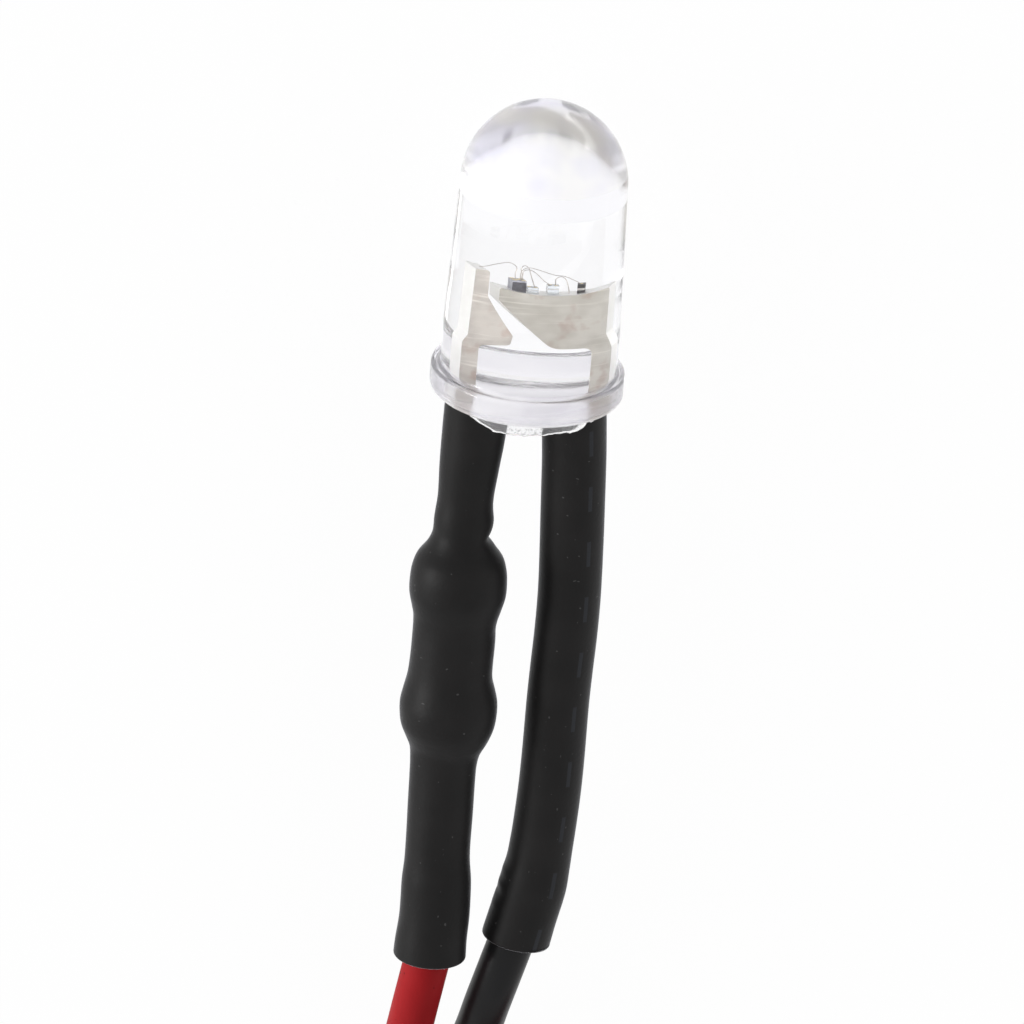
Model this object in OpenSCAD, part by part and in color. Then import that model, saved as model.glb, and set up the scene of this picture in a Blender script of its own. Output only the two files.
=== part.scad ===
/* [Moulded lens] */
// Radius of the barrel where a panel hole takes it
barrel_r = 2.5; // [2.3:0.05:2.7]
// Length of the straight register above the flange
register_l = 1.2; // [0.8:0.1:2]
// Height of the dome's centre above the flange shoulder
dome_y = 5.61; // [4.4:0.01:6.5]
// Radius of the dome
dome_r = 2.37; // [2.1:0.01:2.44]
// Radius of the flange
flange_r = 2.75; // [2.72:0.01:3]
// Thickness of the flange
flange_h = 0.83; // [0.75:0.01:1.1]
// Distance from the axis to the flat on the cathode side
flat_x = 2.6; // [2.55:0.01:2.7]
// Rounding of the flange's upper edge
edge_r = 0.1; // [0.05:0.01:0.15]
// Rounding of the flange's lower edge
foot_r = 0.3; // [0.15:0.01:0.4]
// Outer radius of the resin rim that was left on the underside
rim_r = 2.32; // [2.25:0.01:2.36]
// Thickness of that rim
rim_t = 0.16; // [0.1:0.01:0.25]

/* [Lead frame] */
// Distance between the two leads
lead_pitch = 2.7; // [2.5:0.01:2.8]
// Width of a lead
lead_w = 0.48; // [0.4:0.01:0.55]
// Thickness of the metal sheet
sheet_t = 0.5; // [0.4:0.01:0.55]
// Height of the anode post above the shoulder
post_top = 3.2; // [2.9:0.01:3.4]
// Height of the chip shelf above the shoulder
shelf_top = 2.72; // [2.5:0.01:2.9]
// Height above the shoulder of the lower edge of both wide parts
web_bottom = 0.95; // [0.7:0.01:1.1]
// Width of the anode post at its top
post_w = 0.37; // [0.33:0.01:0.4]
// Distance from the axis to the shelf's left end
shelf_left = 0.75; // [0.65:0.01:0.78]
// Distance from the axis to the shelf's right end
shelf_right = 1.4; // [1.3:0.01:1.5]
// Depth of the shallow dish in the shelf
dish_depth = 0.14; // [0.05:0.01:0.2]
// Length of the anode lead below the shoulder
anode_lead_l = 4.3; // [3.6:0.1:4.5]
// Length of the cathode lead below the shoulder
cathode_lead_l = 5.1; // [4.4:0.1:5.5]

/* [Chips and bond wires] */
// Width of the driver chip
driver_w = 0.27; // [0.2:0.01:0.28]
// Height of the driver chip
driver_h = 0.33; // [0.2:0.01:0.35]
// Depth of the driver chip
driver_d = 0.27; // [0.2:0.01:0.4]
// Width of a clear die
die_w = 0.2; // [0.15:0.01:0.22]
// Height of a clear die
clear_die_h = 0.12; // [0.08:0.01:0.16]
// Width of the dark die
dark_die_w = 0.14; // [0.1:0.01:0.2]
// Height of the dark die
dark_die_h = 0.27; // [0.15:0.01:0.3]
// Radius of a bond wire
bond_r = 0.016; // [0.014:0.001:0.02]
// Radius of the pad at each end of a bond wire
bond_pad_r = 0.04; // [0.03:0.001:0.045]
// Height of that pad
bond_pad_h = 0.03; // [0.02:0.001:0.04]

/* [Series resistor] */
// Distance from the shoulder to the resistor's middle
resistor_s = 8.6; // [8.4:0.1:8.8]
// Length of the resistor's body
resistor_l = 5.8; // [5.5:0.05:6.2]
// Radius of the body over its end caps
cap_bulge_r = 1.21; // [1.15:0.01:1.22]
// Radius of the body between the caps
waist_r = 0.98; // [0.94:0.01:1]
// Radius of the ceramic rod
rod_r = 0.82; // [0.7:0.01:0.84]
// Length of a steel end cap
cap_l = 1.1; // [0.9:0.05:1.2]
// Wall of a steel end cap
cap_wall = 0.12; // [0.08:0.01:0.14]
// Radius of the resistor's leads
resistor_lead_r = 0.25; // [0.2:0.01:0.25]

/* [Heat-shrink sleeves] */
// Wall of both sleeves
sleeve_wall = 0.17; // [0.14:0.01:0.17]
// Gap between the underside of the flange and a sleeve
sleeve_gap = 0.15; // [0.1:0.01:0.3]
// Length of the resistor's sleeve
resistor_sleeve_l = 17.3; // [17:0.1:17.6]
// Length of the plain sleeve, measured straight down
cathode_sleeve_l = 16.8; // [16.4:0.1:17.1]
// Outer radius of the resistor's sleeve at its mouth
mouth_r = 1.03; // [0.98:0.01:1.05]
// Outer radius of the plain sleeve at its mouth
cathode_mouth_r = 0.98; // [0.93:0.01:1]

/* [Wires] */
// Diameter over the insulation
wire_d = 1.32; // [1.28:0.01:1.34]
// Diameter of the tinned strands
core_d = 0.48; // [0.4:0.01:0.5]
// Length of each stripped end
strip_l = 4; // [3:0.1:6]
// Length of the straight runs of the hank
hank_run = 20.5; // [20:0.1:24]
// Radius at the middle of the hank's two folds
hank_fold_r = 4.75; // [4.75:0.01:5.2]
// Thickness of the tie
tie_t = 0.25; // [0.2:0.01:0.3]
// Width of the tie
tie_w = 2.4; // [2:0.1:4]

/* [Hidden] */
$fn = 64;

lead_x = lead_pitch / 2;
base_y = -flange_h;
floor_z = -flange_r;
wire_r = wire_d / 2;
core_r = core_d / 2;
// Height of a wire's centre where it lies on the table
wire_z = floor_z + wire_r;

// The hank: two wires wide and three high, raised from the table by its tie
left_runs_x = -1.95;
hank_near_y = -23.4;
hank_x = left_runs_x + hank_fold_r;
hank_w = 2 * hank_fold_r + 2 * wire_d;
hank_start_y = hank_near_y - hank_w / 2;
hank_end_y = hank_start_y - hank_run;
hank_base = floor_z + tie_t;
hank_h = 3 * wire_d;
low_run_z = hank_base + wire_r;
top_run_z = hank_base + hank_h - wire_r;

// Sideways place of the plain sleeve's centreline at distances below the shoulder
cathode_bow = [
    [0.9, 1.39], [1.8, 1.46], [2.8, 1.54], [4, 1.61], [5.5, 1.69], [7, 1.745], [8.2, 1.745], [9.4, 1.71],
    [10.4, 1.687], [12, 1.684], [13, 1.67], [14, 1.628], [14.8, 1.575], [15.5, 1.505],
    [16.1, 1.42], [16.7, 1.29], [17.3, 1.16], [17.9, 1.06]];

// Radius of the plain sleeve at distances below the shoulder
cathode_sleeve_stations = [
    [0.9, 0.925], [3, 0.912], [5, 0.908], [7, 0.895], [10, 0.888], [12, 0.892], [14, 0.895], [14.8, 0.9],
    [15.4, 0.925], [16, 0.96], [17, 0.965], [17.9, cathode_mouth_r]];

// Sideways place of the resistor sleeve's centreline, in the same way; straight along the resistor
resistor_x = -1.468;
resistor_bow = [
    [0.9, -1.36], [2.2, -1.4], [3.2, -1.445], [4.4, resistor_x], [11.8, resistor_x], [12.8, -1.452],
    [14.4, -1.42], [15.6, -1.385], [16.6, -1.342], [17.4, -1.355], [18.3, -1.395]];

// The black wire from its joint, through the sleeve and down to the hank
black_route = [
    [1.745, -7, 0], [1.745, -7.6, 0], [1.71, -9.4, 0], [1.687, -10.4, 0], [1.684, -12, 0], [1.67, -13, 0],
    [1.628, -14, 0], [1.57, -14.8, 0], [1.49, -15.5, 0], [1.39, -16.1, 0], [1.25, -16.7, 0], [1.09, -17.3, 0],
    [0.9, -18, -0.01], [0.66, -19, -0.13], [0.49, -20, -0.45], [0.38, -21, -0.9], [0.2, -22, -1.33],
    [-0.04, -23, -1.66], [-0.4, -24.4, low_run_z], [-0.75, -26, low_run_z - 0.05]];

// The red wire from the resistor's sleeve to the hank
red_route = [
    [-1.4, -15, 0], [-1.4, -15.6, 0], [-1.375, -16.6, 0], [-1.385, -17.6, 0], [-1.41, -18.2, -0.01],
    [-1.5, -19, -0.13], [-1.57, -20, -0.45], [-1.6, -21, -0.9], [-1.66, -22, -1.33], [-1.75, -23, -1.66],
    [-2, -24.6, low_run_z], [-2.3, -26.6, low_run_z - 0.05]];

// Each wire's tail past the hank's last run: sideways, along, and its share of the drop to the table
red_tail_steps = [
    [-0.08, 1, 0], [-0.18, 3, 0.13], [-0.22, 4.6, 0.43], [-0.22, 6.2, 0.77], [-0.22, 7.4, 0.97],
    [-0.22, 8, 1], [-0.22, 8.6, 1]];
black_tail_steps = [
    [0.02, 2, 0], [0.08, 4.3, 0.06], [0.2, 5.8, 0.4], [0.3, 7.1, 0.74], [0.37, 8.3, 0.96],
    [0.37, 9.1, 1], [0.37, 9.7, 1]];
function tail_route(x, steps) = [
    for (p = steps) [x + p[0], hank_end_y - p[1], top_run_z + (wire_z - top_run_z) * p[2]]];
red_tail_route = tail_route(left_runs_x - wire_r, red_tail_steps);
black_tail_route = tail_route(left_runs_x + wire_r, black_tail_steps);

// Distances along the resistor from its middle: end of the rod, of the caps, and crest of each bulge
rod_half = resistor_l / 2 - 0.65;
cap_half = rod_half + cap_wall;
cap_offset = resistor_l / 2 - 0.95;
upper_crest = resistor_s - cap_offset;
lower_crest = resistor_s + cap_offset;

// Radius of the resistor's sleeve below the shoulder: lead, body, wire and mouth
resistor_sleeve_stations = [
    [0.9, 0.93], [2.2, 0.9], [3.2, 0.845], [4.05, 0.795], [upper_crest - 1.45, 0.835],
    [upper_crest - 1.1, 0.975], [upper_crest - 0.73, cap_bulge_r + 0.023],
    [upper_crest - 0.36, cap_bulge_r + 0.137], [upper_crest, cap_bulge_r + sleeve_wall],
    [upper_crest + 0.38, cap_bulge_r + 0.16], [upper_crest + 0.75, cap_bulge_r + 0.074],
    [upper_crest + 1.12, waist_r + 0.22], [resistor_s, waist_r + sleeve_wall + 0.03],
    [lower_crest - 1.2, waist_r + 0.205], [lower_crest - 0.9, waist_r + 0.235],
    [lower_crest - 0.55, cap_bulge_r + 0.09], [lower_crest - 0.19, cap_bulge_r + sleeve_wall],
    [lower_crest + 0.18, cap_bulge_r + sleeve_wall], [lower_crest + 0.55, cap_bulge_r + 0.11],
    [lower_crest + 0.92, waist_r + 0.2], [lower_crest + 1.29, 1.01], [lower_crest + 1.65, 0.95],
    [lower_crest + 2.05, 0.935], [13.7, 0.93], [14.8, 0.92], [15.3, 0.932], [15.9, 0.985], [16.6, 0.995],
    [17.4, 1], [18.3, mouth_r]];

// Points of a circular arc about c, from angle a to angle b
function arc(c, r, a, b, n = 6) = [for (i = [0:n]) c + r * [cos(a + (b - a) * i / n), sin(a + (b - a) * i / n)]];

// A polygon's corners, each [x, y, radius], rounded by arcs
function rounded(p, n = 5) = [
    for (i = [0:len(p) - 1])
        let (
            here = [p[i][0], p[i][1]],
            before = p[(i + len(p) - 1) % len(p)],
            after = p[(i + 1) % len(p)],
            u = unit([before[0], before[1]] - here),
            v = unit([after[0], after[1]] - here),
            half = acos(u * v) / 2,
            c = here + unit(u + v) * p[i][2] / sin(half),
            a = here + u * p[i][2] / tan(half) - c,
            b = here + v * p[i][2] / tan(half) - c,
            start = atan2(a[1], a[0]),
            turn = (atan2(b[1], b[0]) - start + 540) % 360 - 180)
        each p[i][2] == 0 ? [here] : arc(c, p[i][2], start, start + turn, n)];

function unit(v) = v / norm(v);

// Smooth value at s through stations of [place, value]
function slope_at(t, i) =
    i == 0 || i == len(t) - 1 ? 0 : (t[i + 1][1] - t[i - 1][1]) / (t[i + 1][0] - t[i - 1][0]);
function station_value(t, s, i = 0) =
    i < len(t) - 2 && s > t[i + 1][0] ? station_value(t, s, i + 1) :
    let (w = t[i + 1][0] - t[i][0], q = (s - t[i][0]) / w)
    t[i][1] * (2 * q * q * q - 3 * q * q + 1) + t[i + 1][1] * (3 * q * q - 2 * q * q * q)
    + w * slope_at(t, i) * (q * q * q - 2 * q * q + q) + w * slope_at(t, i + 1) * (q * q * q - q * q);

// Points of a smooth curve through a route, n to each stretch
function smooth_route(p, n) = [
    for (i = [0:len(p) - 2], k = [0:n - (i == len(p) - 2 ? 0 : 1)])
        let (
            q = k / n,
            a = p[max(i - 1, 0)], b = p[i], c = p[i + 1], d = p[min(i + 2, len(p) - 1)])
        0.5 * (2 * b + q * (c - a) + q * q * (2 * a - 5 * b + 4 * c - d)
            + q * q * q * (3 * b - a - 3 * c + d))];

// A ring of m points round point i of a route
function heading(p, i) = unit(p[min(i + 1, len(p) - 1)] - p[max(i - 1, 0)]);
function ring(p, i, r, m, turn = 0) =
    let (t = heading(p, i), s = unit(cross(t, [0, 0, 1])), u = cross(s, t))
    [for (k = [0:m - 1]) p[i] + r * (cos(360 * k / m + turn) * s + sin(360 * k / m + turn) * u)];

// Triangles of the wall between rings of m points, numbered from base
function wall_faces(n, m, base, inward) = [
    for (i = [0:n - 2], k = [0:m - 1])
        let (
            a = base + i * m + k, b = base + i * m + (k + 1) % m,
            c = base + (i + 1) * m + (k + 1) % m, d = base + (i + 1) * m + k)
        each inward ? [[a, c, b], [a, d, c]] : [[a, b, c], [a, c, d]]];

// A solid rod swept along a route
module rod_along(route, r, sides, turn = 0) {
    n = len(route);
    points = [for (i = [0:n - 1]) each ring(route, i, r, sides, turn)];
    start_cap = [for (k = [sides - 1:-1:0]) k];
    end_cap = [for (k = [0:sides - 1]) (n - 1) * sides + k];
    polyhedron(points, concat([start_cap, end_cap], wall_faces(n, sides, 0, false)));
}

// An open-ended sleeve swept along a route, with a radius for each ring
module sleeve_along(route, radii, wall, sides) {
    n = len(route);
    m = sides;
    outer = [for (i = [0:n - 1]) each ring(route, i, radii[i], m)];
    inner = [for (i = [0:n - 1]) each ring(route, i, radii[i] - wall, m)];
    first = n * m;
    last = (n - 1) * m;
    rims = [
        for (k = [0:m - 1])
            let (j = (k + 1) % m)
            each [
                [k, first + k, first + j, j],
                [last + k, last + j, first + last + j, first + last + k]]];
    polyhedron(
        concat(outer, inner),
        concat(wall_faces(n, m, 0, false), wall_faces(n, m, first, true), rims));
}

// Place in a sleeve: x across it from its centreline, s below the shoulder
function resistor_place(x, s) = [x + lookup(s, resistor_bow), -s, 0];
function cathode_place(x, s) = [x + lookup(s, cathode_bow), -s, 0];

// Puts a shape that lies along +Z onto the resistor's axis
module on_resistor_axis(s = resistor_s) translate(resistor_place(0, s)) rotate([90, 0, 0]) children();

// Lens
module lens_profile() {
    polygon(concat(
        [[0, base_y]],
        arc([flange_r - foot_r, base_y + foot_r], foot_r, -90, 0, 6),
        arc([flange_r - edge_r, -edge_r], edge_r, 0, 90, 4),
        [[barrel_r, 0], [barrel_r, register_l], [dome_r, dome_y], [0, dome_y]]));
    intersection() {
        translate([0, dome_y]) circle(dome_r, $fn = 128);
        translate([0, dome_y - 0.5]) square([dome_r + 1, dome_r + 1]);
    }
}

// The broken resin rim under the flange: start angle, span and depth of each piece
rim_pieces = [
    [202, 19, 0.14], [221, 15, 0.34], [236, 20, 0.43], [256, 13, 0.4], [269, 22, 0.46],
    [291, 7, 0.2], [298, 14, 0.42], [312, 12, 0.38], [324, 12, 0.14],
    [32, 26, 0.22], [58, 30, 0.36], [88, 22, 0.3], [110, 30, 0.2]];

module resin_rim() {
    for (p = rim_pieces)
        rotate([0, 0, p[0]]) rotate_extrude(angle = p[1], $fn = 96)
            translate([rim_r - rim_t, base_y - p[2]]) square([rim_t, p[2] + 0.1]);
}

module lens_form() {
    cut = 0.01;
    difference() {
        rotate([-90, 0, 0]) {
            rotate_extrude($fn = 96) lens_profile();
            resin_rim();
        }
        translate([flat_x, base_y - cut, -flange_r])
            cube([flange_r, flange_h - edge_r + cut, 2 * flange_r]);
    }
}

module lens_body() {
    color([0.92, 0.94, 0.98, 0.35])
        difference() {
            lens_form();
            anode_sheet();
            cathode_sheet();
            all_chips();
            all_bond_wires();
        }
}

// Lead frame
post_left = lead_x + 0.02;
lead_out = lead_x + lead_w / 2;
lead_in = lead_x - lead_w / 2;
shelf_low = shelf_top - 0.36;
toe_x = 0.4;
toe_top = web_bottom + 0.35;

post_outline = [
    [-lead_out, base_y, 0], [-lead_out, web_bottom - 0.02, 0.1],
    [-post_left - 0.06, web_bottom + 0.22, 0.12], [-post_left, post_top, 0.04],
    [-post_left + post_w, post_top, 0.07], [-post_left + post_w, shelf_low + 0.06, 0.25],
    [-toe_x, toe_top, 0.1], [-toe_x - 0.04, web_bottom + 0.06, 0.1],
    [-lead_in, web_bottom - 0.03, 0.16], [-lead_in, base_y, 0]];

anvil_outline = [
    [lead_in, base_y, 0], [lead_in, web_bottom, 0.18], [toe_x - 0.04, web_bottom, 0.4],
    [-shelf_left, shelf_low, 0.06], [-shelf_left, shelf_top, 0.04],
    [shelf_right, shelf_top, 0.05], [shelf_right, toe_top, 0.12],
    [lead_out, web_bottom - 0.1, 0.12], [lead_out, base_y, 0]];

// The dish is an arc that ends just inside both ends of the shelf
dish_x = (shelf_right - shelf_left) / 2;
dish_half = (shelf_right + shelf_left) / 2 - 0.07;
dish_r = (dish_half * dish_half + dish_depth * dish_depth) / (2 * dish_depth);
function dish_y(x) = shelf_top - dish_depth + dish_r - sqrt(dish_r * dish_r - (x - dish_x) * (x - dish_x));

module stamped()
    translate([0, 0, -sheet_t / 2]) linear_extrude(sheet_t) children();

module anode_sheet() stamped() polygon(rounded(post_outline));
module cathode_sheet() stamped()
    difference() {
        polygon(rounded(anvil_outline));
        translate([dish_x, dish_y(dish_x) + dish_r]) circle(dish_r, $fn = 128);
    }

// The leads go on from the resin, each to its joint inside its sleeve
lead_half_diagonal = lead_w / sqrt(2);
lead_step = 0.2;
lead_start_y = base_y + 0.1;
neck_y = base_y - 0.9;
anode_lead_route = [
    [-lead_x, lead_start_y, 0], [-lead_x, neck_y, 0], resistor_place(lead_step, 2.8),
    resistor_place(lead_step, anode_lead_l)];
cathode_lead_route = [
    [lead_x, lead_start_y, 0], [lead_x, neck_y, 0], cathode_place(-lead_step, 3.4),
    cathode_place(-lead_step, cathode_lead_l)];

module anode_post() {
    color([0.78, 0.77, 0.73]) {
        anode_sheet();
        rod_along(anode_lead_route, lead_half_diagonal, 4, 45);
    }
}

module cathode_anvil() {
    color([0.78, 0.77, 0.73]) {
        cathode_sheet();
        rod_along(cathode_lead_route, lead_half_diagonal, 4, 45);
    }
}

// Chips in the dish, from left to right
driver_x = -0.325;
green_x = -0.05;
blue_x = 0.31;
red_x = 0.8;

// A chip stands in the dish and follows its curve at the bottom
module chip(x, w, h, d)
    difference() {
        translate([x - w / 2, shelf_top - dish_depth - 0.05, -d / 2])
            cube([w, dish_y(x) + h - shelf_top + dish_depth + 0.05, d]);
        cathode_sheet();
    }

module driver_chip() color([0.3, 0.29, 0.33]) chip(driver_x, driver_w, driver_h, driver_d);
module green_die() color([0.85, 0.9, 0.86]) chip(green_x, die_w, clear_die_h, die_w);
module blue_die() color([0.85, 0.88, 0.95]) chip(blue_x, die_w, clear_die_h, die_w);
module red_die() color([0.25, 0.22, 0.2]) chip(red_x, dark_die_w, dark_die_h, die_w);

module all_chips() {
    driver_chip();
    green_die();
    blue_die();
    red_die();
}

// A bond wire: a pad at each end and one arc between them that rises above their line
module bond_wire(a, b, rise) {
    from = a + [0, bond_pad_h, 0];
    to = b + [0, bond_pad_h, 0];
    chord = norm(to - from);
    along = (to - from) / chord;
    side = unit(cross(along, [0, 1, 0]));
    up = cross(side, along);
    r = (chord * chord / 4 + rise * rise) / (2 * rise);
    half = 2 * atan(2 * rise / chord);
    middle = (from + to) / 2 - (r - rise) * up;
    for (end = [a, b])
        translate(end) rotate([-90, 0, 0]) cylinder(r = bond_pad_r, h = bond_pad_h, $fn = 24);
    multmatrix([
        [along[0], up[0], side[0], middle[0]],
        [along[1], up[1], side[1], middle[1]],
        [along[2], up[2], side[2], middle[2]],
        [0, 0, 0, 1]])
        rotate([0, 0, 90 - half]) rotate_extrude(angle = 2 * half, $fn = 96)
            translate([r, 0]) circle(bond_r, $fn = 16);
}

driver_top = dish_y(driver_x) + driver_h;
green_top = dish_y(green_x) + clear_die_h;
blue_top = dish_y(blue_x) + clear_die_h;
red_top = dish_y(red_x) + dark_die_h;

module supply_bond_wire() color("gold")
    bond_wire([driver_x - 0.06, driver_top, 0.03], [-post_left + post_w - 0.15, post_top, 0], 0.25);
module green_bond_wire() color("gold")
    bond_wire([driver_x + 0.04, driver_top, 0.09], [green_x + 0.04, green_top, 0.04], 0.2);
module blue_bond_wire() color("gold")
    bond_wire([driver_x + 0.08, driver_top, 0], [blue_x - 0.05, blue_top, 0], 0.16);
module red_bond_wire() color("gold")
    bond_wire([driver_x + 0.07, driver_top, -0.09], [red_x - 0.01, red_top, -0.03], 0.2);
module return_bond_wire() color("gold")
    difference() {
        bond_wire([blue_x + 0.05, blue_top, -0.04], [blue_x + 0.28, dish_y(blue_x + 0.28) - 0.005, 0.08], 0.14);
        cathode_sheet();
    }

module all_bond_wires() {
    supply_bond_wire();
    green_bond_wire();
    blue_bond_wire();
    red_bond_wire();
    return_bond_wire();
}

// Series resistor
bulge_spread = 0.7;
function body_r(t) =
    (waist_r + (cap_bulge_r - waist_r) * exp(-pow((abs(t) - cap_offset) / bulge_spread, 2)))
    * sqrt(1 - pow(min(abs(2 * t / resistor_l), 1), 8));

module resistor_rod() color("ivory")
    on_resistor_axis() cylinder(r = rod_r, h = 2 * rod_half, center = true);

module end_cap_form() {
    difference() {
        translate([0, 0, rod_half + cap_wall - cap_l]) cylinder(r = rod_r + cap_wall, h = cap_l);
        translate([0, 0, rod_half - cap_l]) cylinder(r = rod_r, h = cap_l);
    }
}

module resistor_lower_cap() color("silver")
    on_resistor_axis() end_cap_form();
module resistor_upper_cap() color("silver")
    on_resistor_axis() rotate([180, 0, 0]) end_cap_form();

module resistor_coating() {
    steps = 40;
    outline = [for (i = [0:steps]) let (t = resistor_l * (i / steps - 0.5)) [body_r(t), t]];
    color([0.45, 0.62, 0.7])
        on_resistor_axis() difference() {
            rotate_extrude() polygon(outline);
            cylinder(r = rod_r, h = 2 * rod_half, center = true);
            for (end = [-1, 1])
                translate([0, 0, end * (cap_half - cap_l / 2)])
                    cylinder(r = rod_r + cap_wall, h = cap_l, center = true);
            cylinder(r = resistor_lead_r, h = resistor_l + 1, center = true);
        }
}

// The resistor's leads, each straight out of its cap and then cranked beside what it joins
crank = resistor_l / 2 + 0.15;
upper_lead_route = [
    resistor_place(0, resistor_s - cap_half), resistor_place(0, resistor_s - crank),
    resistor_place(-0.33, resistor_s - crank - 0.6), resistor_place(-0.33, 2.7)];
lower_lead_route = [
    resistor_place(0, resistor_s + cap_half), resistor_place(0, resistor_s + crank),
    resistor_place(-0.32, resistor_s + crank + 0.9), resistor_place(-0.32, 14)];

module resistor_upper_lead() color("silver") rod_along(upper_lead_route, resistor_lead_r, 10);
module resistor_lower_lead() color("silver") rod_along(lower_lead_route, resistor_lead_r, 10);

// Solder joints, each a spindle round the two conductors that it joins
module solder_spindle(length, r) {
    end_r = 0.7 * r;
    rotate_extrude($fn = 32)
        polygon([
            [0, -length / 2], [end_r, -length / 2], [r, -length / 4],
            [r, length / 4], [end_r, length / 2], [0, length / 2]]);
}

module anode_solder() color([0.7, 0.7, 0.72])
    difference() {
        on_resistor_axis(3.45) solder_spindle(1.5, 0.58);
        rod_along(anode_lead_route, lead_half_diagonal, 4, 45);
        rod_along(upper_lead_route, resistor_lead_r, 10);
    }

// The wires' stripped cores, each from the face of its insulation
red_core_route = [
    red_route[0], red_route[0] + [0, 0.3, 0], resistor_place(0.28, 14.1), resistor_place(0.28, 12.6)];
black_core_route = [
    black_route[0], black_route[0] + [0, 0.3, 0], cathode_place(0.3, 5.6), cathode_place(0.34, 4),
    cathode_place(0.34, 3.3)];

module red_wire_solder() color([0.7, 0.7, 0.72])
    difference() {
        on_resistor_axis(13.4) solder_spindle(1.4, 0.62);
        rod_along(lower_lead_route, resistor_lead_r, 10);
        rod_along(red_core_route, core_r, 10);
    }

module cathode_solder() color([0.7, 0.7, 0.72])
    difference() {
        translate(cathode_place(0.05, 4.3)) rotate([90, 0, 3]) solder_spindle(1.3, 0.6);
        rod_along(cathode_lead_route, lead_half_diagonal, 4, 45);
        rod_along(black_core_route, core_r, 10);
    }

// Sleeves: each follows its centreline, with the radius of its stations
module sleeve(bow, stations, length, steps) {
    first = flange_h + sleeve_gap;
    distances = [for (i = [0:steps]) first + length * i / steps];
    route = [for (s = distances) [station_value(bow, s), -s, 0]];
    radii = [for (s = distances) station_value(stations, s)];
    color([0.14, 0.14, 0.14]) sleeve_along(route, radii, sleeve_wall, 24);
}

module resistor_sleeve() sleeve(resistor_bow, resistor_sleeve_stations, resistor_sleeve_l, 50);
module cathode_sleeve() sleeve(cathode_bow, cathode_sleeve_stations, cathode_sleeve_l, 34);

// Wires
module red_core() color("silver") rod_along(red_core_route, core_r, 10);
module black_core() color("silver") rod_along(black_core_route, core_r, 10);

// A stretch of wire that ends face to face with the hank
module free_wire(route)
    difference() {
        rod_along(route, wire_r, 8, 22.5);
        hank_form();
    }

module red_wire() color([0.75, 0.1, 0.13]) free_wire(red_route);
module black_wire() color([0.12, 0.12, 0.12]) free_wire(black_route);
module red_tail() color([0.75, 0.1, 0.13]) free_wire(red_tail_route);
module black_tail() color([0.12, 0.12, 0.12]) free_wire(black_tail_route);

module hank_outline() {
    r = hank_w / 2;
    for (y = [hank_start_y, hank_end_y])
        translate([hank_x, y]) circle(r);
    translate([hank_x - r, hank_end_y]) square([2 * r, hank_run]);
}

module hank_form() translate([0, 0, hank_base]) linear_extrude(hank_h) hank_outline();
module wire_hank() color([0.45, 0.1, 0.12]) hank_form();

// The tie goes once round the hank, with its twisted ends flat on top
module hank_tie() {
    middle_y = (hank_start_y + hank_end_y) / 2;
    knot_l = 5;
    knot_w = 0.9;
    knot_h = 0.6;
    outer = [
        [-hank_w / 2 - tie_t, -tie_t, 0.2], [hank_w / 2 + tie_t, -tie_t, 0.2],
        [hank_w / 2 + tie_t, hank_h + tie_t, 0.2], [-hank_w / 2 - tie_t, hank_h + tie_t, 0.2]];
    color([0.12, 0.12, 0.12]) {
        translate([hank_x, middle_y + tie_w / 2, hank_base])
            rotate([90, 0, 0]) linear_extrude(tie_w)
                difference() {
                    polygon(rounded(outer));
                    translate([-hank_w / 2, 0]) square([hank_w, hank_h]);
                }
        translate([hank_x, middle_y, hank_base + hank_h + tie_t / 2])
            linear_extrude(knot_h) square([knot_l, knot_w], center = true);
    }
}

module tinned_end(route) {
    last = route[len(route) - 1];
    color([0.8, 0.8, 0.82])
        translate(last) rotate([90, 0, 0]) cylinder(r = core_r, h = strip_l);
}

module red_tinned_end() tinned_end(red_tail_route);
module black_tinned_end() tinned_end(black_tail_route);

lens_body();
anode_post();
cathode_anvil();
driver_chip();
green_die();
blue_die();
red_die();
supply_bond_wire();
green_bond_wire();
blue_bond_wire();
red_bond_wire();
return_bond_wire();
resistor_rod();
resistor_upper_cap();
resistor_lower_cap();
resistor_coating();
resistor_upper_lead();
resistor_lower_lead();
anode_solder();
red_wire_solder();
cathode_solder();
resistor_sleeve();
cathode_sleeve();
red_core();
black_core();
red_wire();
black_wire();
wire_hank();
red_tail();
black_tail();
hank_tie();
red_tinned_end();
black_tinned_end();
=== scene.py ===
# %% [markdown]
# This is a pre-wired clear LED, lying on a table: a lens, two black sleeves and two wires. The
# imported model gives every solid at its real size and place, in metres. It is loaded first, because
# every piece below is placed by it. Solids that show get a finer mesh and a real finish, and the
# wires get their whole length.

# %% Load the frame
import math
import random

import bmesh
import bpy
from mathutils import Matrix, Vector


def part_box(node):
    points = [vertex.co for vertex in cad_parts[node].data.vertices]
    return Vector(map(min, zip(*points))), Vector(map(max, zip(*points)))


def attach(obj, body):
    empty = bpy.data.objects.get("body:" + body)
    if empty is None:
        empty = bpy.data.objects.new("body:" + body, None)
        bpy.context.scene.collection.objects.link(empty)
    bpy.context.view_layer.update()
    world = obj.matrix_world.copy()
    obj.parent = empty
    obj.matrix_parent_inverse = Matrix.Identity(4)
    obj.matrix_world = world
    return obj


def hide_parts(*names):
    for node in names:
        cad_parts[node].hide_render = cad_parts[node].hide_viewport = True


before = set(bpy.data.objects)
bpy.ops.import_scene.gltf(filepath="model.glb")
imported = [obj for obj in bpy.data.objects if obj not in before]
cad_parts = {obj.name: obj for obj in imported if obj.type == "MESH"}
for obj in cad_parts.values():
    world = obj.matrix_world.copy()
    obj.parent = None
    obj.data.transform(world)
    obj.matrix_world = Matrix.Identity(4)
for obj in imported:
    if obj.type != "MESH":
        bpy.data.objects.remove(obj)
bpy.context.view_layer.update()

MM = 0.001


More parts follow.
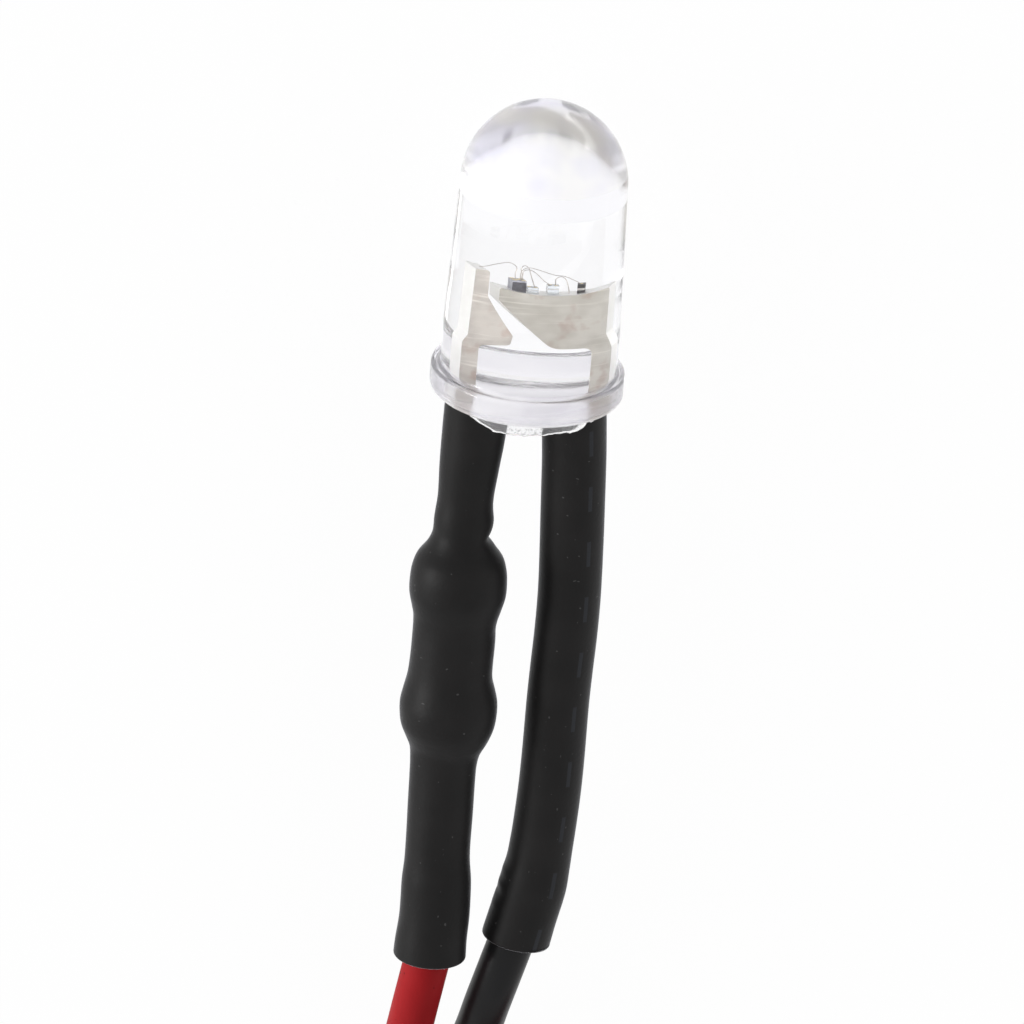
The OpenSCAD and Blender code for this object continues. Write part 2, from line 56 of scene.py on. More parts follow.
def mm(*point):
    """A point given in millimetres, as a vector in metres."""
    return Vector(point) * MM


def add_object(name, data):
    """A new object for that data, linked to the scene."""
    made = bpy.data.objects.new(name, data)
    bpy.context.scene.collection.objects.link(made)
    return made


# %% [markdown]
# These sizes are the part's own: the barrel, flange and dome of the moulded lens, and the wires.
# Each is written once, so that a change reaches every piece that uses it.

# %% Sizes of the part
BARREL_R = 2.5 * MM
REGISTER_L = 1.2 * MM
DOME_Y = 5.61 * MM
DOME_R = 2.37 * MM
FLANGE_R = 2.75 * MM
FLANGE_H = 0.83 * MM
FLAT_X = 2.6 * MM
EDGE_R = 0.1 * MM
FOOT_R = 0.3 * MM
WIRE_R = 0.66 * MM
CORE_R = 0.24 * MM
FLOOR_Z = -FLANGE_R - 0.02 * MM

# %% [markdown]
# The photograph was taken from far off with a long lens, from the dome's side and a little from the
# left, with the part leaning slightly to the right. The camera could be placed by eye, but three
# angles, the picture's scale and the place of the lens's shoulder in it fix it exactly.

# %% Camera
PICTURE = 1024
SCALE_PX = 35.5 / MM
SHOULDER_PX = (528.4, 365.0)
TILT = math.radians(23.5)
SIDEWAYS = math.radians(12)
LEAN = math.radians(4.96)
DISTANCE = 1.25
SENSOR_MM = 36.0


def camera_axes(tilt, sideways, lean):
    """Right, up and backward directions of the camera."""
    back = Vector((
        -math.sin(sideways) * math.cos(tilt), math.sin(tilt), math.cos(sideways) * math.cos(tilt)))
    right = Vector((math.cos(sideways), 0, math.sin(sideways)))
    up = back.cross(right)
    return (
        right * math.cos(lean) + up * math.sin(lean),
        up * math.cos(lean) - right * math.sin(lean), back)


def add_camera():
    """The camera, aimed so that the shoulder's centre falls on its place in the picture."""
    right, up, back = camera_axes(TILT, SIDEWAYS, LEAN)
    half = PICTURE / 2
    target = right * (half - SHOULDER_PX[0]) / SCALE_PX - up * (half - SHOULDER_PX[1]) / SCALE_PX
    data = bpy.data.cameras.new("camera")
    data.sensor_width = SENSOR_MM
    data.lens = SCALE_PX * DISTANCE * SENSOR_MM / PICTURE
    data.clip_start = 0.01
    data.clip_end = 10
    camera = add_object("camera", data)
    turn = Matrix((right, up, back)).transposed().to_4x4()
    camera.matrix_world = Matrix.Translation(target + back * DISTANCE) @ turn
    bpy.context.scene.camera = camera
    return camera


camera = add_camera()
print("camera lens", round(camera.data.lens), "mm")

# %% [markdown]
# Small helpers come next. One turns points and faces into a mesh, one lays a smooth curve through a
# given route, and one gives the directions across a route that a tube's rings need. They are
# plain functions, because every piece uses them with other numbers.

# %% Mesh helpers
def add_piece(name, points, faces, smooth=True):
    """A mesh object at the origin, with its place kept in its mesh."""
    mesh = bpy.data.meshes.new(name)
    mesh.from_pydata([tuple(p) for p in points], [], faces)
    mesh.validate()
    if smooth:
        mesh.shade_smooth()
    return add_object(name, mesh)


# %% Route helpers
def smooth_route(route, n):
    """n points for each stretch of a smooth curve through the route."""
    points = []
    last = len(route) - 1
    for i in range(last):
        a, b, c, d = route[max(i - 1, 0)], route[i], route[i + 1], route[min(i + 2, last)]
        for k in range(n + (i == last - 1)):
            q = k / n
            points.append(0.5 * (
                2 * b + q * (c - a) + q * q * (2 * a - 5 * b + 4 * c - d)
                + q ** 3 * (3 * b - a - 3 * c + d)))
    return points


def route_frames(route):
    """For each point of a route: the point, its heading, and two directions across it."""
    frames = []
    for i, p in enumerate(route):
        heading = (route[min(i + 1, len(route) - 1)] - route[max(i - 1, 0)]).normalized()
        side = heading.cross(Vector((0, 0, 1))).normalized()
        frames.append((p, heading, side, side.cross(heading)))
    return frames


def route_length(route):
    """Length along a route's points."""
    return sum((b - a).length for a, b in zip(route, route[1:]))


# %% [markdown]
# Wires, strands and bond wires are all round tubes along a path. They could be curves with a bevel,
# but a Geometry Nodes tree with named inputs does it once for all of them. Curve to Mesh sweeps a
# circle along the curve, and Set Material gives it its finish.

# %% Tube tree
def tube_tree():
    """A Geometry Nodes tree that sweeps a round section along a curve."""
    tree = bpy.data.node_groups.new("tube_along_curve", "GeometryNodeTree")
    for name, way, kind in (
            ("Geometry", "INPUT", "Geometry"), ("Radius", "INPUT", "Float"), ("Sides", "INPUT", "Int"),
            ("Material", "INPUT", "Material"), ("Geometry", "OUTPUT", "Geometry")):
        tree.interface.new_socket(name, in_out=way, socket_type="NodeSocket" + kind)
    add = tree.nodes.new
    given = add("NodeGroupInput")
    out = add("NodeGroupOutput")
    circle = add("GeometryNodeCurvePrimitiveCircle")
    sweep = add("GeometryNodeCurveToMesh")
    sweep.inputs["Fill Caps"].default_value = True
    real = add("GeometryNodeRealizeInstances")
    finish = add("GeometryNodeSetMaterial")
    link = tree.links.new
    link(given.outputs["Geometry"], sweep.inputs["Curve"])
    link(given.outputs["Radius"], circle.inputs["Radius"])
    link(given.outputs["Sides"], circle.inputs["Resolution"])
    link(circle.outputs["Curve"], sweep.inputs["Profile Curve"])
    link(sweep.outputs["Mesh"], real.inputs["Geometry"])
    link(real.outputs["Geometry"], finish.inputs["Geometry"])
    link(given.outputs["Material"], finish.inputs["Material"])
    link(finish.outputs["Geometry"], out.inputs["Geometry"])
    return tree


TUBE_TREE = tube_tree()


# %% Tubes from the tree
def set_input(modifier, name, value):
    """Sets a modifier's input by its socket's identifier."""
    for item in modifier.node_group.interface.items_tree:
        if item.name == name and item.in_out == "INPUT":
            modifier[item.identifier] = value


def evaluated_mesh(thing):
    """A new mesh of an object with its modifiers applied."""
    bpy.context.view_layer.update()
    made = thing.evaluated_get(bpy.context.evaluated_depsgraph_get())
    return bpy.data.meshes.new_from_object(made)


def add_tubes(name, routes, radius, sides, material):
    """One mesh with a round tube along each route."""
    curve = bpy.data.curves.new(name + "_path", "CURVE")
    curve.dimensions = "3D"
    for route in routes:
        spline = curve.splines.new("POLY")
        spline.points.add(len(route) - 1)
        for point, place in zip(spline.points, route):
            point.co = (*place, 1)
    path = add_object(name + "_path", curve)
    modifier = path.modifiers.new("tube", "NODES")
    modifier.node_group = TUBE_TREE
    for label, value in (("Radius", radius), ("Sides", sides), ("Material", material)):
        set_input(modifier, label, value)
    mesh = evaluated_mesh(path)
    mesh.name = name
    mesh.shade_smooth()
    bpy.data.objects.remove(path)
    print(name, len(mesh.polygons), "faces")
    return add_object(name, mesh)


# %% [markdown]
# Each material is one Principled shader, and these helpers keep it short. Colour and bump come from
# noise on Object coordinates, which are metres, so a pattern's scale is its number of features in a
# metre. Such patterns need no picture files and stay sharp close up.

# %% Material helpers
GRAIN = 0.02 * MM


def new_material(name, **settings):
    """A Principled material with plain settings on the shader's own sockets."""
    material = bpy.data.materials.new(name)
    material.use_nodes = True
    shader = material.node_tree.nodes["Principled BSDF"]
    for socket, value in settings.items():
        shader.inputs[socket.replace("_", " ")].default_value = value
    return material, shader


def add_node(material, kind, **values):
    """A node of that kind with values on its inputs or its own settings."""
    node = material.node_tree.nodes.new("ShaderNode" + kind)
    for key, value in values.items():
        if key.startswith("set_"):
            setattr(node, key[4:], value)
        else:
            node.inputs[key.replace("_", " ")].default_value = value
    return node


def join(material, source, target):
    """Links two sockets."""
    material.node_tree.links.new(source, target)


def object_noise(material, scale, stretch=(1, 1, 1), detail=2.0):
    """A noise value on Object coordinates, scale features in a metre."""
    place = add_node(material, "TexCoord")
    turn = add_node(material, "Mapping")
    turn.inputs["Scale"].default_value = stretch
    noise = add_node(material, "TexNoise", Scale=scale, Detail=detail)
    join(material, place.outputs["Object"], turn.inputs["Vector"])
    join(material, turn.outputs["Vector"], noise.inputs["Vector"])
    return noise.outputs["Fac"]


# %% Colour and bump helpers
def ramp(material, value, stops):
    """A colour ramp over a value, from stops of (place, colour)."""
    node = add_node(material, "ValToRGB")
    elements = node.color_ramp.elements
    while len(elements) < len(stops):
        elements.new(0.5)
    for element, (place, colour) in zip(elements, stops):
        element.position = place
        element.color = (*colour, 1)
    join(material, value, node.inputs["Fac"])
    return node.outputs["Color"]


def spotted(material, colour, value, low, high, spot, most=1.0):
    """Mixes a spot colour in, from none where a value is low to the most where it is high."""
    node = add_node(material, "Mix", set_data_type="RGBA")
    amount = add_node(material, "MapRange", From_Min=low, From_Max=high, To_Max=most)
    join(material, value, amount.inputs["Value"])
    join(material, amount.outputs["Result"], node.inputs["Factor"])
    join(material, colour, node.inputs[6])
    node.inputs[7].default_value = (*spot, 1)
    return node.outputs[2]


def add_bump(material, shader, value, strength, depth=GRAIN):
    """A bump from a value, depth in metres."""
    bump = add_node(material, "Bump", Strength=strength, Distance=depth)
    join(material, value, bump.inputs["Height"])
    join(material, bump.outputs["Normal"], shader.inputs["Normal"])


def two_tone(name, first, second, scale, stretch=(1, 1, 1), stops=(0.35, 0.65), bump=None, **settings):
    """A finish in two shades of noise, with a light bump of (scale, strength) where given."""
    material, shader = new_material(name, **settings)
    shades = list(zip(stops, (first, second)))
    colour = ramp(material, object_noise(material, scale, stretch), shades)
    join(material, colour, shader.inputs["Base Color"])
    if bump:
        add_bump(material, shader, object_noise(material, bump[0]), bump[1])
    return material


def paint(piece, *materials):
    """Gives a piece its materials, in the order of their indices."""
    for material in materials:
        piece.data.materials.append(material)


# %% [markdown]
# The insulation of both wires is soft PVC with a satin skin. A flat colour would look drawn, so it
# varies between two near shades and has a few small dark specks. A very fine bump breaks up its
# highlight.

# %% Wire materials
def insulation(name, dark, light, roughness, shine):
    """Satin PVC in a colour that varies between two near shades, with small dark specks."""
    material, shader = new_material(name, Roughness=roughness, Specular_IOR_Level=shine)
    colour = ramp(material, object_noise(material, 900, (1, 0.25, 1)), [(0.35, dark), (0.7, light)])
    specks = object_noise(material, 3800, detail=0)
    colour = spotted(material, colour, specks, 0.78, 0.81, tuple(0.3 * c for c in dark))
    join(material, colour, shader.inputs["Base Color"])
    add_bump(material, shader, object_noise(material, 9000), 0.12)
    return material


RED_PVC = insulation("red_pvc", (0.22, 0.009, 0.011), (0.265, 0.013, 0.015), 0.5, 0.05)
BLACK_PVC = insulation("black_pvc", (0.005, 0.005, 0.0055), (0.009, 0.009, 0.0095), 0.34, 0.15)

# %% [markdown]
# The wires are cords of a fixed length. Each leaves its sleeve, drops to the table and would run on
# out of the picture, so the rest of its length is folded into a hank just past the picture's edge.
# The free stretches repeat the model's points, because they follow the photograph. A
# loop works out the hank's turns: three levels of straight runs joined by round folds, with the
# climb made in the near fold.

# %% Wire routes
TIE_T = 0.25 * MM
HANK_FOLD_R = 4.75 * MM
HANK_X = -1.95 * MM + HANK_FOLD_R
HANK_START_Y = -29.47 * MM
HANK_RUN = 20.5 * MM
WIRE_D = 2 * WIRE_R
LOW_RUN_Z = FLOOR_Z + TIE_T + WIRE_R
LEVELS = 3
FOLD_POINTS = 14
CLIMB_SHARE = 0.6

RED_START = [
    mm(-1.4, -15, 0), mm(-1.4, -15.6, 0), mm(-1.375, -16.6, 0), mm(-1.385, -17.6, 0),
    mm(-1.41, -18.2, -0.01), mm(-1.5, -19, -0.13), mm(-1.57, -20, -0.45), mm(-1.6, -21, -0.9),
    mm(-1.66, -22, -1.33), mm(-1.75, -23, -1.66), mm(-2, -24.6, -1.84), mm(-2.3, -26.6, -1.89)]
BLACK_START = [
    mm(1.745, -7, 0), mm(1.745, -7.6, 0), mm(1.71, -9.4, 0), mm(1.687, -10.4, 0), mm(1.684, -12, 0),
    mm(1.67, -13, 0), mm(1.628, -14, 0), mm(1.57, -14.8, 0), mm(1.49, -15.5, 0), mm(1.39, -16.1, 0),
    mm(1.25, -16.7, 0), mm(1.09, -17.3, 0), mm(0.9, -18, -0.01), mm(0.66, -19, -0.13),
    mm(0.49, -20, -0.45), mm(0.38, -21, -0.9), mm(0.2, -22, -1.33), mm(-0.04, -23, -1.66),
    mm(-0.4, -24.4, -1.84), mm(-0.75, -26, -1.89)]
RED_TAIL_STEPS = [
    (-0.08, 1, 0), (-0.18, 3, 0.13), (-0.22, 4.6, 0.43), (-0.22, 6.2, 0.77), (-0.22, 7.4, 0.97),
    (-0.22, 8, 1), (-0.22, 8.6, 1)]
BLACK_TAIL_STEPS = [
    (0.02, 2, 0), (0.08, 4.3, 0.06), (0.2, 5.8, 0.4), (0.3, 7.1, 0.74), (0.37, 8.3, 0.96),
    (0.37, 9.1, 1), (0.37, 9.7, 1)]


# %% Runs, folds and tails of the hank
def tail_route(radius, steps):
    """The end of a wire past the hank, from steps of (sideways, along, share of the drop)."""
    top_z = LOW_RUN_Z + (LEVELS - 1) * WIRE_D
    drop = top_z - (FLOOR_Z + WIRE_R)
    last = Vector((HANK_X - radius, HANK_START_Y - HANK_RUN, top_z))
    return [
        last + mm(aside, -along, 0) - Vector((0, 0, drop * share)) for aside, along, share in steps]


def hank_turns(radius):
    """Points of the straight runs and folds of one wire, from its first run to its last."""
    end_y = HANK_START_Y - HANK_RUN
    points = []
    for level in range(LEVELS):
        z = LOW_RUN_Z + level * WIRE_D
        for k in range(6):
            points.append(Vector((HANK_X - radius, HANK_START_Y - HANK_RUN * k / 5, z)))
        if level == LEVELS - 1:
            break
        for k in range(1, FOLD_POINTS):
            a = math.pi * k / FOLD_POINTS
            points.append(Vector((HANK_X - radius * math.cos(a), end_y - radius * math.sin(a), z)))
        for k in range(6):
            points.append(Vector((HANK_X + radius, end_y + HANK_RUN * k / 5, z)))
        for k in range(1, FOLD_POINTS):
            a = math.pi * k / FOLD_POINTS
            q = min(k / FOLD_POINTS / CLIMB_SHARE, 1)
            climb = WIRE_D * q * q * (3 - 2 * q)
            points.append(Vector((
                HANK_X + radius * math.cos(a), HANK_START_Y + radius * math.sin(a), z + climb)))
    return points


def wire_path(start, radius, tail):
    """The whole path of a wire, from inside its sleeve to its stripped end."""
    turns = hank_turns(radius)
    return smooth_route(start + turns[:-1] + tail, 4)


# %% Wires
RED_TURN_R = HANK_FOLD_R + WIRE_R
BLACK_TURN_R = HANK_FOLD_R - WIRE_R
RED_TAIL = tail_route(RED_TURN_R, RED_TAIL_STEPS)
BLACK_TAIL = tail_route(BLACK_TURN_R, BLACK_TAIL_STEPS)
red_path = wire_path(RED_START, RED_TURN_R, RED_TAIL)
black_path = wire_path(BLACK_START, BLACK_TURN_R, BLACK_TAIL)
for name, path in (("red", red_path), ("black", black_path)):
    print(name, "wire", round(route_length(path), 4), "m")

red_wire = add_tubes("red_lead_wire", [red_path], WIRE_R, 32, RED_PVC)
black_wire = add_tubes("black_lead_wire", [black_path], WIRE_R, 32, BLACK_PVC)

# %% [markdown]
# Each wire ends stripped, with its strands twisted and tinned. One cylinder would do from afar, but
# seven thin tubes, one straight and six that wind round it, catch the light as real strands do.
# They use the same tree as the wires.

# %% Tinned ends
TINNED = two_tone(
    "tinned_strands", (0.5, 0.5, 0.51), (0.72, 0.72, 0.73), 4000, stretch=(1, 0.3, 1),
    stops=(0.3, 0.7), bump=(12000, 0.25), Metallic=1.0, Roughness=0.28)
STRIP_L = 4.0 * MM
STRAND_R = CORE_R / 3
STRAND_TURN = 3.2 * MM
STRAND_STEPS = 24


def strand_routes(start):
    """Routes of seven strands that leave a point towards -Y."""
    depths = [STRIP_L * k / STRAND_STEPS for k in range(STRAND_STEPS + 1)]
    routes = [[start + Vector((0, -y, 0)) for y in depths]]
    out = CORE_R - STRAND_R
    for s in range(6):
        route = []
        for y in depths:
            a = 2 * math.pi * (s / 6 + y / STRAND_TURN)
            route.append(start + Vector((out * math.cos(a), -y, out * math.sin(a))))
        routes.append(route)
    return routes


red_end = add_tubes("red_tinned_strands", strand_routes(RED_TAIL[-1]), STRAND_R, 10, TINNED)
black_end = add_tubes("black_tinned_strands", strand_routes(BLACK_TAIL[-1]), STRAND_R, 10, TINNED)
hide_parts("red_tinned_end")
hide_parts("black_tinned_end")
for end in (red_end, black_end):
    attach(end, "root")


# %% [markdown]
# The tie is a strip of soft black plastic that goes once round the hank. Its solid has the right
# form already, so a copy of it gets its corners rounded by a bevel, which is truer to it than a new
# mesh.

# %% Tie
def copy_of_node(node, name):
    """A merged copy of a CAD node's mesh, free to be refined."""
    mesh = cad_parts[node].data.copy()
    mesh.name = name
    work = bmesh.new()
    work.from_mesh(mesh)
    work.transform(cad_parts[node].matrix_world)
    bmesh.ops.remove_doubles(work, verts=work.verts, dist=1e-7)
    bmesh.ops.dissolve_limit(
        work, angle_limit=math.radians(1), verts=work.verts, edges=work.edges)
    work.to_mesh(mesh)
    work.free()
    mesh.materials.clear()
    return add_object(name, mesh)


def round_edges(piece, width):
    """Bevels the sharp edges of a piece and applies the bevel."""
    bevel = piece.modifiers.new("round", "BEVEL")
    bevel.width = width
    bevel.segments = 3
    bevel.limit_method = "ANGLE"
    bevel.angle_limit = math.radians(35)
    mesh = evaluated_mesh(piece)
    piece.modifiers.clear()
    piece.data = mesh
    mesh.shade_smooth()
    mesh.set_sharp_from_angle(angle=math.radians(50))
    return piece


# %% Tie material
def tie_material():
    """Soft matte plastic with fine ribs along the strip."""
    material, shader = new_material("tie_soft_plastic", Roughness=0.5)
    shades = [(0.3, (0.012, 0.012, 0.012)), (0.7, (0.03, 0.03, 0.03))]
    colour = ramp(material, object_noise(material, 1500), shades)
    join(material, colour, shader.inputs["Base Color"])
    add_bump(material, shader, object_noise(material, 2500, (0.1, 6, 0.1)), 0.4, 0.05 * MM)
    return material


tie = round_edges(copy_of_node("hank_tie", "hank_tie_strip"), 0.05 * MM)
paint(tie, tie_material())
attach(tie, "root")
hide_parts("hank_tie")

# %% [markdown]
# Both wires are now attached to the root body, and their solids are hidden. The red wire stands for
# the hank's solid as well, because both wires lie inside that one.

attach(red_wire, "root")
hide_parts("red_wire", "wire_hank", "red_tail")
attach(black_wire, "root")
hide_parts("black_wire", "black_tail")

# %% [markdown]
# The photograph has a white background and soft light from both sides. A brighter world would wash
# the part out, so only camera, mirror and glass rays see white. The light that falls on the part is
# weaker, bright near the table's height and dim overhead. Two large soft lamps light the sides, and
# a small low one, the only lamp that mirrors show, draws a fine highlight.

# %% White for some rays
def white_for_rays(tree, dim, bright):
    """A value that is bright for camera, mirror and glass rays and dim for all others."""
    path = tree.nodes.new("ShaderNodeLightPath")
    seen = path.outputs["Is Camera Ray"]
    for kind in ("Is Glossy Ray", "Is Transmission Ray"):
        either = tree.nodes.new("ShaderNodeMath")
        either.operation = "MAXIMUM"
        tree.links.new(seen, either.inputs[0])
        tree.links.new(path.outputs[kind], either.inputs[1])
        seen = either.outputs[0]
    spread = tree.nodes.new("ShaderNodeMapRange")
    spread.inputs["To Min"].default_value = dim
    spread.inputs["To Max"].default_value = bright
    tree.links.new(seen, spread.inputs["Value"])
    return spread.outputs["Result"]


# %% World
LOW_SKY = (0.1, 0.9)
HIGH_SKY = (0.85, 0.12)


def add_world():
    """A white studio: bright all round near the table's height and dim overhead."""
    world = bpy.data.worlds.new("studio")
    bpy.context.scene.world = world
    world.use_nodes = True
    tree = world.node_tree
    background = tree.nodes["Background"]
    background.inputs["Color"].default_value = (1, 1, 1, 1)
    direction = tree.nodes.new("ShaderNodeTexCoord")
    height = tree.nodes.new("ShaderNodeSeparateXYZ")
    around = tree.nodes.new("ShaderNodeMapRange")
    for end, (rise, strength) in (("Min", LOW_SKY), ("Max", HIGH_SKY)):
        around.inputs["From " + end].default_value = rise
        around.inputs["To " + end].default_value = strength
    tree.links.new(direction.outputs["Generated"], height.inputs["Vector"])
    tree.links.new(height.outputs["Z"], around.inputs["Value"])
    seen = white_for_rays(tree, 0.0, 1.0)
    tree.links.new(around.outputs["Result"], seen.node.inputs["To Min"])
    tree.links.new(seen, background.inputs["Strength"])


# %% Floor and lamps
FLOOR_HALF = 1.5
FLOOR_WHITE = 0.97


def add_floor():
    """A pale floor that shows white to the camera and takes light like paper."""
    corners = [(FLOOR_HALF * u, FLOOR_HALF * v, FLOOR_Z) for u, v in ((-1, -1), (1, -1), (1, 1), (-1, 1))]
    floor = add_piece("floor", corners, [(0, 1, 2, 3)], smooth=False)
    material, shader = new_material("pale_floor", Base_Color=(0.9, 0.9, 0.91, 1), Roughness=0.6)
    tree = material.node_tree
    glow = tree.nodes.new("ShaderNodeEmission")
    mix = tree.nodes.new("ShaderNodeMixShader")
    tree.links.new(white_for_rays(tree, 0.0, FLOOR_WHITE), mix.inputs["Fac"])
    tree.links.new(shader.outputs["BSDF"], mix.inputs[1])
    tree.links.new(glow.outputs["Emission"], mix.inputs[2])
    tree.links.new(mix.outputs["Shader"], tree.nodes["Material Output"].inputs["Surface"])
    paint(floor, material)


def add_lamp(name, place, size, power, mirrored=False):
    """A soft square lamp that looks at the part."""
    data = bpy.data.lights.new(name, "AREA")
    data.size = size
    data.energy = power
    lamp = add_object(name, data)
    lamp.location = place
    lamp.rotation_euler = (Vector(place) - mm(0, -4, 0)).to_track_quat("Z", "Y").to_euler()
    lamp.visible_glossy = mirrored
    print(name, power, "W")


add_world()
add_floor()
add_lamp("soft_left", (-0.6, 0.05, 0.22), 0.5, 3.4)
add_lamp("low_left", (-0.6, 0.0, 0.1), 0.2, 1.9, mirrored=True)
add_lamp("soft_right", (0.55, 0.0, 0.25), 0.8, 3.4)
bpy.context.scene.view_settings.view_transform = "Standard"

# %% [markdown]
# The lens is one casting of clear epoxy. It could start from a cylinder and a sphere, but a turned
# outline gives every radius at once: a flange with rounded edges, a small fillet at the crease, a
# straight register, a barrel that narrows a little, and a dome. The underside is the open side of
# the mould, so it is slightly wavy, and that makes the light in the flange uneven.

# %% Lens outline
CREASE_R = 0.11 * MM
LENS_SIDES = 144
BARREL_STEPS = 24
DOME_STEPS = 40
WAVE_DEPTH = 0.06 * MM


def lens_profile():
    """Outline of the lens from the underside's centre to the dome's tip, as (radius, height)."""
    outline = [(FLANGE_R * q, -FLANGE_H) for q in (0.12, 0.25, 0.38, 0.5, 0.6, 0.7, 0.78, 0.85)]
    for k in range(11):
        a = math.pi / 2 * k / 10
        outline.append((
            FLANGE_R - FOOT_R + FOOT_R * math.sin(a), -FLANGE_H + FOOT_R - FOOT_R * math.cos(a)))
    for k in range(1, 6):
        outline.append((FLANGE_R, -FLANGE_H + FOOT_R + (FLANGE_H - EDGE_R - FOOT_R) * k / 6))
    for k in range(7):
        a = math.pi / 2 * k / 6
        outline.append((FLANGE_R - EDGE_R + EDGE_R * math.cos(a), -EDGE_R + EDGE_R * math.sin(a)))
    for k in range(5):
        a = math.pi / 2 * k / 4
        outline.append((BARREL_R + CREASE_R - CREASE_R * math.sin(a), CREASE_R - CREASE_R * math.cos(a)))
    for k in range(1, BARREL_STEPS + 1):
        y = CREASE_R + (DOME_Y - CREASE_R) * k / BARREL_STEPS
        q = max(0, (y - REGISTER_L) / (DOME_Y - REGISTER_L))
        outline.append((BARREL_R + (DOME_R - BARREL_R) * q, y))
    for k in range(1, DOME_STEPS):
        a = math.pi / 2 * k / DOME_STEPS
        outline.append((DOME_R * math.cos(a), DOME_Y + DOME_R * math.sin(a)))
    return outline


# %% Uneven surfaces
def wave(seed, u, v):
    """A smooth uneven value from -1 to 1."""
    draw = random.Random(seed)
    total = 0
    for _ in range(5):
        fu, fv, shift = draw.uniform(-1, 1), draw.uniform(-1, 1), draw.uniform(0, 6.3)
        total += math.sin(fu * u + fv * v + shift) / 5
    return total


# %% Lens from its outline
def lens_mesh():
    """The lens: rings from the profile, closed at both poles, with a flat on the cathode side."""
    sides, outline = LENS_SIDES, lens_profile()
    points = [Vector((0, -FLANGE_H, 0))]
    for r, y in outline:
        for k in range(sides):
            a = 2 * math.pi * k / sides
            x, z = r * math.cos(a), r * math.sin(a)
            sink = 0
            if y <= -FLANGE_H + 1e-9 and r < 0.95 * FLANGE_R:
                fade = min(1, (FLANGE_R - r) / (0.5 * MM))
                sink = WAVE_DEPTH * wave(4, x / (0.4 * MM), z / (0.4 * MM)) * fade
            if y < -0.5 * EDGE_R:
                x = min(x, FLAT_X)
            points.append(Vector((x, y - sink, z)))
    points.append(Vector((0, DOME_Y + DOME_R, 0)))
    tip = len(points) - 1
    faces = []
    rings = len(outline)
    for k in range(sides):
        j = (k + 1) % sides
        faces.append((0, 1 + k, 1 + j))
        for i in range(rings - 1):
            a, b = 1 + i * sides, 1 + (i + 1) * sides
            faces.append((a + k, b + k, b + j, a + j))
        faces.append((1 + (rings - 1) * sides + k, tip, 1 + (rings - 1) * sides + j))
    return points, faces


# %% [markdown]
# Clear epoxy is glass to the eye, with an index near 1.55 and faint ripples from the mould. With
# one material the dome and the flange would be as clear as the barrel, but in the photograph they
# are hazier. So the faces are shared among five: the clear barrel, the dome, a shoulder between
# them, the rough flange and the open underside. The dome and the flange are mottled with a darker
# tone, which is a painted reflection of the room.

# %% Lens material
def clear_resin(name, tint, roughness, bump, clear=1.0, index=1.55, shade=None):
    """Clear epoxy with faint ripples; where a shade is given, mottled with it as a painted reflection."""
    material, shader = new_material(
        name, Base_Color=(*tint, 1), Roughness=roughness, IOR=index, Transmission_Weight=clear)
    if shade:
        painted_reflection_mottle = ramp(material, object_noise(material, 650), [(0.38, shade), (0.6, tint)])
        join(material, painted_reflection_mottle, shader.inputs["Base Color"])
    add_bump(material, shader, object_noise(material, 500, (1, 0.4, 1)), bump, 0.04 * MM)
    return material


BARREL_RESIN, DOME_RESIN, FLANGE_RESIN, OPEN_RESIN, SHOULDER_RESIN = range(5)


def resin_kind(polygon):
    """Which of the five resins a face of the lens shows."""
    if polygon.center.y > DOME_Y + 0.5 * MM:
        return DOME_RESIN
    if polygon.center.y > DOME_Y - 0.2 * MM:
        return SHOULDER_RESIN
    if polygon.center.y > CREASE_R:
        return BARREL_RESIN
    return OPEN_RESIN if polygon.normal.y < -0.4 else FLANGE_RESIN


lens = add_piece("lens_casting", *lens_mesh())
# The darker mottle tones of the dome and the flange are painted reflections.
paint(
    lens,
    clear_resin("clear_epoxy", (0.985, 0.985, 1.0), 0.012, 0.05),
    clear_resin("dome_epoxy", (1.0, 0.99, 0.985), 0.17, 0.05, 0.75, 1.7, shade=(0.84, 0.83, 0.97)),
    clear_resin("flange_epoxy", (0.97, 0.955, 1.0), 0.2, 0.9, 0.93, shade=(0.76, 0.74, 0.81)),
    clear_resin("open_side_epoxy", (0.98, 0.97, 0.99), 0.2, 0.4, 0.85),
    clear_resin("shoulder_epoxy", (0.965, 0.96, 1.0), 0.08, 0.05, 0.9, 1.62))
for polygon in lens.data.polygons:
    polygon.material_index = resin_kind(polygon)
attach(lens, "root")
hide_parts("lens_body")
print("lens", len(lens.data.polygons), "faces")

# %% [markdown]
# When the lens was cast, some resin crept down round the edge of the underside and broke off
# ragged. It is thin and frosted, and open at both sides, where the sleeves stand. Each stretch is a
# closed strip, because only a closed mesh bends light as a solid does, and its lower edge follows
# an uneven line. The break itself is paler.

# %% Resin rim
RIM_R = 2.32 * MM
RIM_T = 0.15 * MM
RIM_ARCS = [(24, 158, 0.46), (214, 322, 0.34)]
RIM_ROWS = 7


def rim_depth(angle, first, last, depth):
    """Depth of the rim at an angle: ragged, and running out at both ends of its arc."""
    ends = min(1, (angle - first) / 30, (last - angle) / 34)
    notch = 1 - 0.5 * math.exp(-((angle - 50) / 4) ** 2)
    ragged = 0.85 + 0.2 * wave(7, angle / 5.0, 0) + 0.07 * wave(8, angle / 1.1, 0)
    return depth * MM * max(0.08, ends) * ragged * notch


def rim_thickness(q):
    """Half the rim's thickness at share q of its depth: nearly even, then rounded off."""
    return RIM_T / 2 * math.sqrt(max(0.04, 1 - q ** 6))


